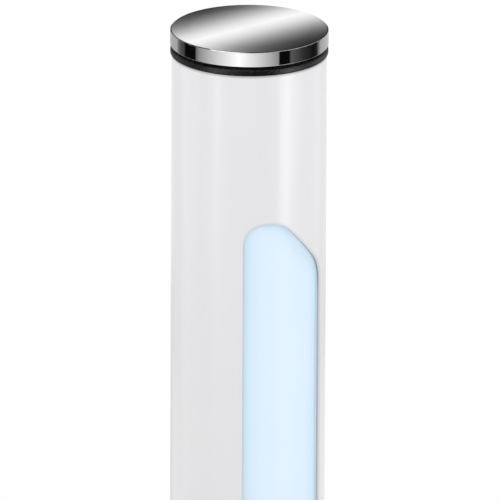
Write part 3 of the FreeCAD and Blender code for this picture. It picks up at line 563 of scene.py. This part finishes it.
def coil_varied(t):
    """A ferrite frame, grey and finely grained, with enamelled copper wire inside its round well."""
    x, _, z = t.place().axes()
    up = z - COIL_HEIGHT
    away = t.math("SQRT", x * x + up * up)
    copper = away.step(COIL_CORE_R, COIL_CORE_R + COIL_RIM) - away.step(COIL_WELL_R - COIL_RIM, COIL_WELL_R)
    speck = t.grain(0.2 * MM, detail=3.0, roughness=0.7)
    ferrite = t.mix(rgb(0.025, 0.024, 0.024), rgb(0.06, 0.058, 0.056), speck)
    enamel = t.mix(rgb(0.42, 0.14, 0.035), rgb(0.66, 0.27, 0.08), t.grain(2 * MM))
    return {
        "Base Color": t.mix(ferrite, enamel, copper),
        "Roughness": 0.55 - copper * 0.28 + speck * 0.08,
        "Metallic": copper * 0.7,
        "Normal": t.bump(speck, depth=0.02 * MM, strength=0.6),
    }


def cast_varied(t):
    """Cast iron under dark primer: a coarse sand skin with shallow pits."""
    sand = t.grain(1.1 * MM, detail=5.0, roughness=0.62)
    pits = t.cells(5 * MM).step(0.0, 0.28)
    return {
        "Base Color": t.mix(rgb(0.09, 0.09, 0.095), rgb(0.18, 0.178, 0.175), sand * 0.7 + t.grain(18 * MM) * 0.3),
        "Roughness": sand * 0.25 + 0.5,
        "Normal": t.bump(sand * 0.7 + pits * 0.3, depth=0.25 * MM),
    }


def foam_varied(t):
    """Closed-cell foam: small open bubbles over its cut faces."""
    cell = t.cells(0.9 * MM)
    return {
        "Base Color": t.mix(rgb(0.016, 0.016, 0.017), rgb(0.05, 0.05, 0.052), cell),
        "Roughness": cell * 0.1 + 0.8,
        "Normal": t.bump(cell, depth=0.15 * MM),
    }


METAL = {"Metallic": 1.0}
LACQUER = {"Specular IOR Level": 0.25, "Coat Weight": 0.1, "Coat Roughness": 0.15}
RECIPES = {
    "chrome": (METAL, chrome_varied),
    "white_lacquer": (LACQUER, lacquer_varied),
    "opal": ({"Emission Strength": 1.0, "Specular IOR Level": 0.08}, opal_varied),
    "rubber_black": ({"Specular IOR Level": 0.1}, rubber_varied),
    "black_plastic": ({}, moulded(rgb(0.012, 0.012, 0.013), rgb(0.03, 0.03, 0.032), 0.42)),
    "grey_plastic": ({}, moulded(rgb(0.36, 0.37, 0.38), rgb(0.45, 0.46, 0.47), 0.4)),
    "bare_aluminium": (METAL, drawn_varied),
    "zinc_steel": (METAL, zinc_varied),
    "spring_steel": (METAL, spring_varied),
    "switch_black": ({}, moulded(rgb(0.014, 0.014, 0.015), rgb(0.03, 0.03, 0.032), 0.34, 0.15 * MM, 0.004 * MM)),
    "switch_white": ({}, moulded(rgb(0.76, 0.76, 0.74), rgb(0.83, 0.83, 0.81), 0.3, 0.15 * MM, 0.003 * MM)),
    "connector_white": ({}, moulded(rgb(0.74, 0.72, 0.66), rgb(0.84, 0.83, 0.78), 0.32)),
    "board_green": ({}, board_varied(rgb(0.006, 0.085, 0.03), rgb(0.03, 0.22, 0.08), rgb(0.03, 0.26, 0.075))),
    "board_white": ({}, board_varied(rgb(0.80, 0.80, 0.78), rgb(0.88, 0.88, 0.87), rgb(0.86, 0.85, 0.80))),
    "led_yellow": ({}, phosphor_varied),
    "reflector_white": ({}, reflector_varied),
    "lead_grey": ({}, moulded(rgb(0.22, 0.22, 0.23), rgb(0.31, 0.31, 0.32), 0.4, 0.5 * MM)),
    "coil_copper": ({}, coil_varied),
    "capacitor_black": ({}, moulded(rgb(0.02, 0.024, 0.036), rgb(0.045, 0.05, 0.066), 0.2, 0.8 * MM, 0.004 * MM)),
    "terminal_green": ({}, moulded(rgb(0.02, 0.24, 0.10), rgb(0.05, 0.34, 0.17), 0.3)),
    "cast_grey": ({}, cast_varied),
    "foam_black": ({}, foam_varied),
}
FINISHES = {name: finish(name, even, varied) for name, (even, varied) in RECIPES.items()}
COLUMN_FINISH = finish("column_lacquer", LACQUER, column_varied)

slot_of = {part["node"]: part["material_slot"] for part in frame["record"]["subparts"]}
for node, thing in frame["nodes"].items():
    thing.data.materials.clear()
    thing.data.materials.append(COLUMN_FINISH if node == "column_tube" else FINISHES[slot_of[node]])


# ---------------------------------------------------------------- pieces made here


def skin(name, tubes, slot, joined=False):
    """One object from tubes, each a grid of points whose rows are rings. A middle point closes each end of a tube, or,
    where it is joined, its last ring runs on into its first."""
    points, faces, start = [], [], 0
    for grid in tubes:
        rows, steps = grid.shape[:2]
        ring = np.arange(steps)
        onward = (ring + 1) % steps
        row = np.arange(rows if joined else rows - 1)[:, None] * steps
        after = (row + steps) % (rows * steps)
        band = np.stack([row + ring, row + onward, after + onward, after + ring], -1).reshape(-1, 4)
        faces += (start + band).tolist()
        points.append(grid.reshape(-1, 3))
        if not joined:
            last, middle = (rows - 1) * steps, ring * 0 + rows * steps
            faces += (start + np.stack([onward, ring, middle], -1)).tolist()
            faces += (start + np.stack([last + ring, last + onward, middle + 1], -1)).tolist()
            points.append(grid[[0, -1]].mean(axis=1))
        start = sum(map(len, points))
    mesh = bpy.data.meshes.new(name)
    mesh.from_pydata(np.concatenate(points).tolist(), [], faces)
    mesh.shade_smooth()
    mesh.materials.append(FINISHES[slot])
    piece = bpy.data.objects.new(name, mesh)
    bpy.context.scene.collection.objects.link(piece)
    return piece


def spring_coils():
    """Three wire springs. The wire's middle runs round a helix: it climbs one wire's width over the first turn and
    over the last, and evenly between. Round it stands a circle, square to the helix, and all of it is held between
    the two seats, as ground ends are."""
    low, high = (corner[2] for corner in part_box("return_springs"))
    t = np.linspace(0, SPRING_TURNS, SPRING_STEPS * SPRING_TURNS + 1)
    wide = 2 * SPRING_WIRE_R
    climb = np.interp(t, [0, 1, SPRING_TURNS - 1, SPRING_TURNS], [0, wide, high - low - wide, high - low])
    angle = 2 * math.pi * t
    out = np.stack([np.cos(angle), np.sin(angle), angle * 0], -1)
    path = out * SPRING_COIL_R + climb[:, None] * UP
    along = np.gradient(path, axis=0)
    along /= np.linalg.norm(along, axis=1, keepdims=True)
    over = np.cross(along, out)
    turn = np.linspace(0, 2 * math.pi, SPRING_SIDES, endpoint=False)[None, :, None]
    grid = path[:, None] + SPRING_WIRE_R * (out[:, None] * np.cos(turn) + over[:, None] * np.sin(turn))
    grid[..., 2] = np.clip(grid[..., 2], 0, high - low) + low
    seats = [math.radians(a) for a in SPRING_SEATS]
    tubes = [grid + np.array([math.cos(a), math.sin(a), 0]) * SPRING_RING for a in seats]
    piece = skin("spring_coils", tubes, "spring_steel")
    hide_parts("return_springs")
    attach(piece, "lamp_body")
    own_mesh(piece)


def coil_winding():
    """The wire in the coil's well: a ring whose section is a block of round wires. Along each side of the block the
    outline swells and falls back once for every wire."""
    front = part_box("driver_coil")[0][1]
    inner, outer = COIL_CORE_R + WINDING_CLEAR, COIL_WELL_R - WINDING_CLEAR
    near, deep = front + WINDING_FRONT, front + COIL_WELL_DEPTH - WINDING_BACK
    half_r, half_y = (outer - inner) / 2, (deep - near) / 2
    across, down = round(2 * half_r / WINDING_WIRE), round(2 * half_y / WINDING_WIRE)

    def side(a, b, wires):
        place = np.linspace(0, 1, WINDING_WIRE_STEPS * wires, endpoint=False)[:, None]
        swell = WINDING_SWELL * WINDING_WIRE * np.abs(np.sin(math.pi * wires * place))
        a, b = np.array(a), np.array(b)
        outward = np.array([(b - a)[1], -(b - a)[0]]) / np.linalg.norm(b - a)
        return a + (b - a) * place + outward * swell

    corners = [(-half_r, -half_y), (half_r, -half_y), (half_r, half_y), (-half_r, half_y)]
    section = np.concatenate([
        side(corners[0], corners[1], across), side(corners[1], corners[2], down),
        side(corners[2], corners[3], across), side(corners[3], corners[0], down),
    ])
    radius = section[:, 0] + (inner + outer) / 2
    depth = section[:, 1] + (near + deep) / 2
    turn = np.linspace(0, 2 * math.pi, WINDING_STEPS, endpoint=False)[:, None]
    grid = np.stack([np.cos(turn) * radius, depth + turn * 0, COIL_HEIGHT + np.sin(turn) * radius], -1)
    piece = skin("coil_winding", [grid], "coil_copper", joined=True)
    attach(piece, "lamp_body")


spring_coils()
coil_winding()


# ---------------------------------------------------------------- camera, floor, light


def placed(thing, across, over, back, spot):
    """Turns a camera or a lamp, which looks against back, and puts it at spot."""
    pose = np.eye(4)
    pose[:3, 0], pose[:3, 1], pose[:3, 2], pose[:3, 3] = across, over, back, spot
    bpy.context.scene.collection.objects.link(thing)
    thing.matrix_world = Matrix(pose.tolist())


def add_camera():
    """The camera looks at the axis from above, turned from the front, and rolled by a quarter of a degree."""
    look = TOWARDS_CAMERA * math.cos(CAMERA_RISE) + UP * math.sin(CAMERA_RISE)
    over = UP * math.cos(CAMERA_RISE) - TOWARDS_CAMERA * math.sin(CAMERA_RISE)
    right = CAMERA_RIGHT * math.cos(CAMERA_ROLL) + over * math.sin(CAMERA_ROLL)
    over = over * math.cos(CAMERA_ROLL) - CAMERA_RIGHT * math.sin(CAMERA_ROLL)
    data = bpy.data.cameras.new("camera")
    data.sensor_width = FILM_WIDTH
    data.lens = FILM_WIDTH * CAMERA_REACH / PICTURE_WIDTH
    data.clip_end = CAMERA_SEES_TO
    camera = bpy.data.objects.new("camera", data)
    placed(camera, right, over, look, UP * AIM_HEIGHT + right * AIM_RIGHT + look * CAMERA_REACH)
    bpy.context.scene.camera = camera


def add_floor():
    """A round floor whose white turns into the white behind it before its edge."""
    turn = np.linspace(0, 2 * math.pi, FLOOR_SIDES, endpoint=False)
    ring = np.stack([np.cos(turn) * FLOOR_RADIUS, np.sin(turn) * FLOOR_RADIUS, turn * 0.0], axis=1)
    mesh = bpy.data.meshes.new("floor")
    mesh.from_pydata(ring.tolist(), [], [tuple(range(len(ring)))])
    floor = bpy.data.objects.new("floor", mesh)
    bpy.context.scene.collection.objects.link(floor)
    material = bpy.data.materials.new("floor")
    material.use_nodes = True
    material.node_tree.nodes.clear()
    t = Port(material.node_tree)
    camera, gloss, glass = (
        t.node("ShaderNodeLightPath", out=kind) for kind in ("Is Camera Ray", "Is Glossy Ray", "Is Transmission Ray"))
    seen = (camera + gloss + glass).least(1.0)
    away = t.node("ShaderNodeVectorMath", {"operation": "LENGTH"}, {0: t.place()}, out="Value")
    ground = t.node("ShaderNodeBsdfDiffuse", values={"Color": grey(FLOOR_GREY)})
    glow = t.node("ShaderNodeEmission", values={"Color": grey(1.0), "Strength": seen * FLOOR_GLOW})
    both = t.node("ShaderNodeAddShader", values={0: ground, 1: glow})
    clear = t.node("ShaderNodeBsdfTransparent")
    blend = t.node("ShaderNodeMixShader", values={0: away.step(*FLOOR_FADE), 1: both, 2: clear})
    t.node("ShaderNodeOutputMaterial", values={"Surface": blend})
    mesh.materials.append(material)


def by_turn(t, turn, levels):
    """A grey that follows the turn through pairs of turn, in degrees from -180 to 180, and level."""
    stops = [(a / 360.0 + 0.5, grey(level)) for a, level in levels]
    return t.node("ShaderNodeValToRGB", {"stops": stops}, {"Fac": turn / 360.0 + 0.5})


def slanted_band(t, side, up, squeeze=1.0):
    """The bright band: it fades as the power of the distance from its middle line, which leans and bends, and has a
    fine crest there."""
    sine, cosine = math.sin(BAND_LEAN), math.cos(BAND_LEAN)
    across = (side * sine + up * cosine) * squeeze
    along = (side * cosine - up * sine) * squeeze
    off = abs(across + along * along * BAND_BEND + BAND_PLACE) / BAND_WIDE
    crest = t.math("EXPONENT", off * -BAND_CREST_FALL) * BAND_CREST
    return t.math("EXPONENT", -t.math("POWER", off, BAND_FALL)) + crest


def add_world():
    """The studio. It lights the lamp evenly in white. Gloss shows its walls, which run from bright to dark with the
    turn, a slanted bright band high behind the lamp and again further round, and a bright card low behind it."""
    world = bpy.data.worlds.new("studio")
    bpy.context.scene.world = world
    world.use_nodes = True
    world.node_tree.nodes.clear()
    t = Port(world.node_tree)
    way = t.node("ShaderNodeTexCoord", out="Generated")
    way = t.node("ShaderNodeVectorMath", {"operation": "NORMALIZE"}, {0: way})
    x, y, z = way.axes()
    ahead = x * float(TOWARDS_CAMERA[0]) + y * float(TOWARDS_CAMERA[1])
    aside = x * float(CAMERA_RIGHT[0]) + y * float(CAMERA_RIGHT[1])
    turn = t.math("ARCTAN2", aside, ahead) * DEGREES
    rise = t.math("ARCSINE", z) * DEGREES
    behind = t.math("SIGN", turn) * 180.0 - turn
    up = (rise - math.degrees(CAMERA_RISE)) / BAND_RISE

    # all round: the walls, and above them the dark sides, with the band again where it is not straight behind
    walls = by_turn(t, turn, WALLS)
    left = t.mix(grey(LEFT_FAR_LEVEL), grey(LEFT_NEAR_LEVEL), aside.step(*LEFT_ASIDE))
    sides = t.mix(left, grey(RIGHT_LEVEL), aside.step(*RIGHT_ASIDE) * rise.step(*RIGHT_RISE))
    again = t.math("PINGPONG", turn + (180.0 - BAND_AGAIN), 2 * BAND_AGAIN) - BAND_AGAIN
    again = t.mix(slanted_band(t, again / BAND_TURN, up), sides, rise.step(*AGAIN_END_RISE))
    high = t.mix(sides, again, abs(behind).step(*AGAIN_TURN))
    studio = t.mix(walls, high, rise.step(*WALLS_END_RISE))

    # straight behind: the card, and above it the band
    side = behind / BAND_TURN
    reach = t.math("SQRT", side * side + up * up)
    squeeze = (reach - BAND_SQUEEZE_FROM).most(0.0) * BAND_SQUEEZE + 1.0
    card = t.mix(walls, grey(CARD_LEVEL), rise.step(*CARD_RISE))
    middle = t.mix(slanted_band(t, side, up, squeeze), sides, reach.step(*BAND_END_REACH))
    middle = t.mix(card, middle, (1.0 - reach.step(*CARD_END_REACH)).most(rise.step(*CARD_END_RISE)))
    studio = t.mix(studio, middle, 1.0 - abs(behind).step(*BACK_TURN))

    # the rolled edge: the slope and turn are those of a facet that throws this way at the first camera
    towards = ahead + math.cos(CAMERA_RISE)
    level = t.math("SQRT", towards * towards + aside * aside)
    slope = t.math("ARCTAN2", level, z + math.sin(CAMERA_RISE)) * DEGREES
    spark = by_turn(t, t.math("ARCTAN2", aside, towards) * DEGREES, EDGE)
    roll = t.mix(grey(ROLL_TOP_LEVEL), spark, slope.step(*ROLL_TURNS))
    shown = slope.step(*ROLL_BEGINS) * towards.step(*ROLL_FACING) * (1.0 - slope.step(*ROLL_ENDS))
    shown = shown * rise.step(*ROLL_RISE).most(1.0 - abs(behind).step(*ROLL_BACK_TURN))
    studio = t.mix(studio, roll, shown)

    gloss = t.node("ShaderNodeLightPath", out="Is Glossy Ray")
    back = t.node("ShaderNodeBackground", values={"Color": t.mix(grey(1.0), studio, gloss), "Strength": 1.0})
    t.node("ShaderNodeOutputWorld", values={"Surface": back})


def add_strips(strips, slots):
    """Tall soft strips of light round the lamp, which only the gloss of the pieces in these slots shows."""
    lit = bpy.data.collections.new("lit_by_strips")
    for node, thing in frame["nodes"].items():
        if slot_of[node] in slots:
            lit.objects.link(thing)
    for turn, wide, foot, head, level in strips:
        a = math.radians(turn)
        way = TOWARDS_CAMERA * math.cos(a) + CAMERA_RIGHT * math.sin(a)
        data = bpy.data.lights.new("strip", "AREA")
        data.shape = "RECTANGLE"
        data.size = 2 * STRIP_REACH * math.tan(math.radians(wide / 2))
        data.size_y = head - foot
        data.energy = level * math.pi * data.size * data.size_y
        strip = bpy.data.objects.new("strip", data)
        placed(strip, np.cross(UP, way), UP, way, way * STRIP_REACH + UP * (foot + head) / 2)
        strip.visible_diffuse = False
        strip.visible_camera = False
        strip.light_linking.receiver_collection = lit


add_camera()
add_floor()
add_world()
add_strips(STRIPS, set(FINISHES) - {"chrome", "rubber_black"})
add_strips(RUBBER_STRIPS, {"rubber_black"})

bpy.context.scene.view_settings.view_transform = "Standard"
